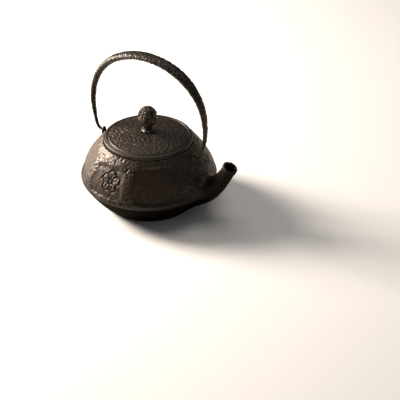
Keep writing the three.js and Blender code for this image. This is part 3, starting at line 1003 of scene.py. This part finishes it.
def half_bail(side):
    """The bail's centre line from the hook on one side up to the crown. side is 1 at the spout."""
    leg_top = side * ARCH_RADIUS + ARCH_SHIFT
    leg = outline(
        (side * HOOK_TIP, PIVOT_HEIGHT),
        ((side * HOOK_STRAIGHT, PIVOT_HEIGHT),),
        ((side * HOOK_BEND, PIVOT_HEIGHT), (side * LEG_FOOT[0], LEG_FOOT[1])),
        ((leg_top, LEG_BEND_TOP), (leg_top, ARCH_MIDDLE)),
        spacing=0.5,
    )
    top = cubic(
        (leg_top, ARCH_MIDDLE),
        (leg_top, ARCH_MIDDLE + ARCH_RISE * ARCH_FULLNESS),
        (ARCH_SHIFT + side * ARCH_RADIUS * ARCH_FULLNESS, ARCH_MIDDLE + ARCH_RISE),
        (ARCH_SHIFT, ARCH_MIDDLE + ARCH_RISE),
        np.linspace(0, 1, 240),
    )
    return np.concatenate([leg, top[1:]])


bail_path = evenly(np.concatenate([half_bail(1), half_bail(-1)[-2::-1]]), BAIL_STEPS)
share = np.linspace(0, 1, BAIL_STEPS)
fullness = np.sin(math.pi * share) ** 1.3
tip_gap = np.minimum(share, 1 - share) * BAIL_STEPS * 0.55
tip_cap = np.sqrt(np.clip(1 - (1 - np.minimum(tip_gap / HOOK_RADIUS, 1)) ** 2, 0.02, 1))
bail_thick = (HOOK_RADIUS + (GRIP_HALF_THICKNESS - HOOK_RADIUS) * fullness) * tip_cap
bail_wide = (HOOK_RADIUS + (GRIP_HALF_WIDTH - HOOK_RADIUS) * fullness) * tip_cap
bail = swept("bail", bail_path, bail_thick, bail_wide, BAIL_SIDES)
points, normals = places_of(bail)
grip = smooth_step(PIVOT_HEIGHT + 1, PIVOT_HEIGHT + 22, points[:, 2])
dents = lumps(points, 4.6, 41)
scale_marks = ridges(points, 3, 42)
grit_marks = lumps(points, 1.9, 43)
holes = pits(points, 4, 1.3, 0.4, 44) * grip
lift = grip * (0.4 * dents + 0.3 * scale_marks + 0.55 * grit_marks - 0.2) - 0.5 * holes
# The crown is sunk a little, so that its hammer marks end at the true height and keep their shape.
crown = smooth_step(178, 186, points[:, 2])
lift = np.minimum(lift - 0.4 * crown, 0.3 * (1 - crown))
lift = lift + (1 - grip) * (0.08 * lumps(points, 2, 45) - 0.05)
place(bail, points + normals * lift[:, None])
# Painted shade: the pits and the bottoms of the hammer dents are darkened through the hollow mark.
store(bail, "hollow", np.clip(holes - 0.5 * dents - 0.35, 0, 1))
store(bail, "raised", np.clip(0.25 + 0.7 * dents + 0.45 * scale_marks, 0, 1))
# Hammered and blackened: near black, with small dull glints on the edges of the hammer marks.
bail.data.materials.append(
    iron_skin("iron_hammered", "#0c0704", "#150d07", "#3a3124", 1.6, 0.42, metallic=0.3)
)
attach(bail, "handle")
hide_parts("bail_handle")


# ---- Infuser rim ----
# A spun stainless ring. Its flange hangs on the step in the pot's mouth, and the mesh wall is spot
# welded inside its skirt. The flange's edge is rolled round.
rim_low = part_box("infuser_rim")[0].z / MM
flange_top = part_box("infuser_rim")[1].z / MM
flange_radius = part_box("infuser_rim")[1].x / MM
RIM_INSIDE = 40.5
FLANGE_SHEET = 0.75
rim_profile = outline(
    (RIM_INSIDE, rim_low + 0.3),
    ((RIM_INSIDE, rim_low), (RIM_INSIDE + 0.4, rim_low)),
    ((RIM_INSIDE + 0.8, rim_low), (RIM_INSIDE + 0.8, rim_low + 0.4)),
    ((RIM_INSIDE + 0.8, flange_top - 1.9),),
    ((RIM_INSIDE + 0.9, flange_top - 0.8), (RIM_INSIDE + 2, flange_top - FLANGE_SHEET)),
    ((flange_radius - 1.4, flange_top - FLANGE_SHEET),),
    ((flange_radius - 1, flange_top - 0.9), (flange_radius - 0.6, flange_top - 0.9)),
    ((flange_radius, flange_top - 0.9), (flange_radius, flange_top - 0.45)),
    ((flange_radius, flange_top), (flange_radius - 0.6, flange_top)),
    ((flange_radius - 1, flange_top), (flange_radius - 1.4, flange_top - 0.15)),
    ((RIM_INSIDE + 1.6, flange_top - 0.15),),
    ((RIM_INSIDE, flange_top - 0.2), (RIM_INSIDE, flange_top - 1.7)),
    spacing=0.6,
)
rim = turned("infuser_rim_ring", rim_profile, 200)
rim.data.materials.append(steel)
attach(rim, "infuser")
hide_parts("infuser_rim")


# ---- Infuser wall and base ----
# Plain-woven stainless wire: a slightly tapering tube and a round floor. The real weave has a wire
# every 0.5 mm and is drawn with one every 1.2 mm, so that its wires are solid and show.
WIRE_GAUGE = 0.4
WEAVE_PITCH = 1.2
WEAVE_SWING = 0.17
BASKET_RADIUS = 37  # at its floor
BASKET_FLARE = 3.2
BASKET_MIDDLE_RADIUS = 38
wall_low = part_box("infuser_wall")[0].z / MM
wall_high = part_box("infuser_wall")[1].z / MM
basket_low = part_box("infuser_base")[0].z / MM
basket_floor_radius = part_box("infuser_base")[1].x / MM


def wire(line, stand, joins):
    """Points and faces of one square wire along a line. stand is the way its weave rises."""
    if joins:
        along = np.roll(line, -1, axis=0) - np.roll(line, 1, axis=0)
    else:
        along = np.gradient(line, axis=0)
    beside = np.cross(along, stand)
    beside /= np.linalg.norm(beside, axis=1)[:, None]
    half = WIRE_GAUGE / 2
    corners = [(1, 1), (1, -1), (-1, -1), (-1, 1)]
    points = np.stack([line + half * (i * beside + j * stand) * 0.8 for i, j in corners], 1)
    faces = grid_faces(len(line), 4, joins)
    last = (len(line) - 1) * 4
    if not joins:
        faces += [[0, 1, 2, 3], [last + 3, last + 2, last + 1, last]]
    return points.reshape(-1, 3), faces


def woven(name, wires):
    """One piece from many wires."""
    points, faces, count = [], [], 0
    for made, quads in wires:
        points.append(made)
        faces += [[count + corner for corner in quad] for quad in quads]
        count += len(made)
    piece = new_piece(name, np.concatenate(points), faces)
    piece.data.set_sharp_from_angle(angle=math.radians(60))
    return piece


def drawn_wire():
    """Drawn stainless wire, pickled after weaving: duller and greyer than the spun rings."""
    material, tree = new_material("stainless_wire_drawn")
    position = add_node(tree, "ShaderNodeTexCoord").outputs["Object"]
    cloud = add_node(
        tree, "ShaderNodeTexNoise", {"Vector": position, "Scale": 1 / (6 * MM), "Detail": 3.0}
    )
    tone = add_node(
        tree,
        "ShaderNodeMix",
        {0: cloud.outputs["Fac"], 6: linear("#8b8883"), 7: linear("#bab7b1")},
        data_type="RGBA",
    )
    gloss = add_node(
        tree,
        "ShaderNodeMapRange",
        {"Value": cloud.outputs["Fac"], "To Min": 0.28, "To Max": 0.5},
    )
    shader = add_node(
        tree,
        "ShaderNodeBsdfPrincipled",
        {
            "Base Color": tone.outputs[2],
            "Metallic": 1.0,
            "Roughness": gloss.outputs["Result"],
        },
    )
    add_node(tree, "ShaderNodeOutputMaterial", {"Surface": shader.outputs["BSDF"]})
    return material


uprights = 2 * round(math.pi * BASKET_MIDDLE_RADIUS / WEAVE_PITCH)
hoops = round((wall_high - wall_low) / WEAVE_PITCH)
turn = np.linspace(0, 2 * math.pi, uprights, endpoint=False)
levels = np.linspace(wall_low + 0.2, wall_high - 0.2, hoops)
wall_radius = BASKET_RADIUS + BASKET_FLARE * (levels - basket_low) / (wall_high - basket_low)
wall_radius -= WIRE_GAUGE
wires = []
for i, angle in enumerate(turn):
    stand = np.tile([math.cos(angle), math.sin(angle), 0], (hoops, 1))
    swing = WEAVE_SWING * (-1) ** (np.arange(hoops) + i)
    line = stand * (wall_radius + swing)[:, None] + np.outer(levels, (0, 0, 1))
    wires.append(wire(line, stand, False))
for j, level in enumerate(levels):
    stand = np.stack([np.cos(turn), np.sin(turn), 0 * turn], 1)
    swing = WEAVE_SWING * (-1) ** (np.arange(uprights) + j + 1)
    line = stand * (wall_radius[j] + swing)[:, None] + (0, 0, level)
    wires.append(wire(line, stand, True))
wall = woven("infuser_mesh_wall", wires)
drawn = drawn_wire()
wall.data.materials.append(drawn)
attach(wall, "infuser")
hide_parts("infuser_wall")

wires = []
across_count = math.floor(basket_floor_radius / WEAVE_PITCH)
for j in range(-across_count, across_count + 1):
    half = math.floor(math.sqrt(basket_floor_radius**2 - (j * WEAVE_PITCH) ** 2) / WEAVE_PITCH)
    if half < 1:
        continue
    steps = np.arange(-half, half + 1)
    level = basket_low + WIRE_GAUGE + WEAVE_SWING * (-1.0) ** (steps + j)
    stand = np.tile([0.0, 0.0, 1.0], (len(steps), 1))
    one_way = np.stack([steps * WEAVE_PITCH, 0 * steps + j * WEAVE_PITCH, level], 1)
    other_way = one_way[:, (1, 0, 2)] * (1, 1, -1) + (0, 0, 2 * (basket_low + WIRE_GAUGE))
    wires.append(wire(one_way, stand, False))
    wires.append(wire(other_way, stand, False))
base = woven("infuser_mesh_base", wires)
base.data.materials.append(drawn)
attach(base, "infuser")
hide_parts("infuser_base")


# ---- Infuser hoop ----
# A stainless channel rolled round the basket's foot. It grips the wall from outside and the mesh
# floor from below.
HOOP_INSIDE = 31.5
HOOP_SHEET = 0.7
hoop_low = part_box("infuser_hoop")[0].z / MM
hoop_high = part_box("infuser_hoop")[1].z / MM
hoop_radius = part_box("infuser_hoop")[1].x / MM
hoop_profile = outline(
    (HOOP_INSIDE, hoop_low + 0.4),
    ((HOOP_INSIDE, hoop_low), (HOOP_INSIDE + 0.4, hoop_low)),
    ((hoop_radius - 1.2, hoop_low),),
    ((hoop_radius, hoop_low), (hoop_radius, hoop_low + 1.2)),
    ((hoop_radius, hoop_high - 0.3),),
    ((hoop_radius, hoop_high), (hoop_radius - 0.35, hoop_high)),
    ((hoop_radius - HOOP_SHEET, hoop_high), (hoop_radius - HOOP_SHEET, hoop_high - 0.3)),
    ((hoop_radius - HOOP_SHEET, basket_low + 0.2),),
    ((hoop_radius - 0.8, basket_low - 0.3), (hoop_radius - 1.4, basket_low - 0.3)),
    ((HOOP_INSIDE + 0.4, basket_low - 0.3),),
    ((HOOP_INSIDE, basket_low - 0.3), (HOOP_INSIDE, basket_low - 0.7)),
    spacing=0.7,
)
hoop = turned("infuser_foot_hoop", hoop_profile, 200)
hoop.data.materials.append(steel)
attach(hoop, "infuser")
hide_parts("infuser_hoop")


# ---- Infuser seam ----
# A thin stainless strip that covers the joint in the mesh wall, at the back of the basket. A row
# of spot welds holds it and leaves a low round dimple at each.
SEAM_HALF_THICKNESS = 0.3
SEAM_HALF_WIDTH = 3.5
WELD_SPACING = 5
WELD_RADIUS = 1.1
WELD_DIMPLE = 0.16
seam_box = [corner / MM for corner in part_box("infuser_seam")]
seam_low = np.array([seam_box[1].x - SEAM_HALF_THICKNESS, seam_box[0].z])
seam_high = np.array([seam_box[0].x + SEAM_HALF_THICKNESS, seam_box[1].z])
steps = np.linspace(0, 1, 150)[:, None]
seam_line = seam_low + (seam_high - seam_low) * steps
seam_end = np.minimum(steps[:, 0], 1 - steps[:, 0]) * 35
seam_cap = np.clip(seam_end / 0.6, 0.1, 1) ** 0.3
seam_thick = SEAM_HALF_THICKNESS * seam_cap
seam_wide = SEAM_HALF_WIDTH * seam_cap
seam = swept("infuser_seam_strip", seam_line, seam_thick, seam_wide, 96)
points, _ = places_of(seam)
shown = points[:, 2] - seam_low[1]
weld = (shown / WELD_SPACING) % 1 - 0.5
from_weld = np.hypot(weld * WELD_SPACING, points[:, 1])
points[:, 0] += WELD_DIMPLE * smooth_step(WELD_RADIUS, 0.5, from_weld)
place(seam, points)
seam.data.materials.append(steel)
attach(seam, "infuser")
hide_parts("infuser_seam")
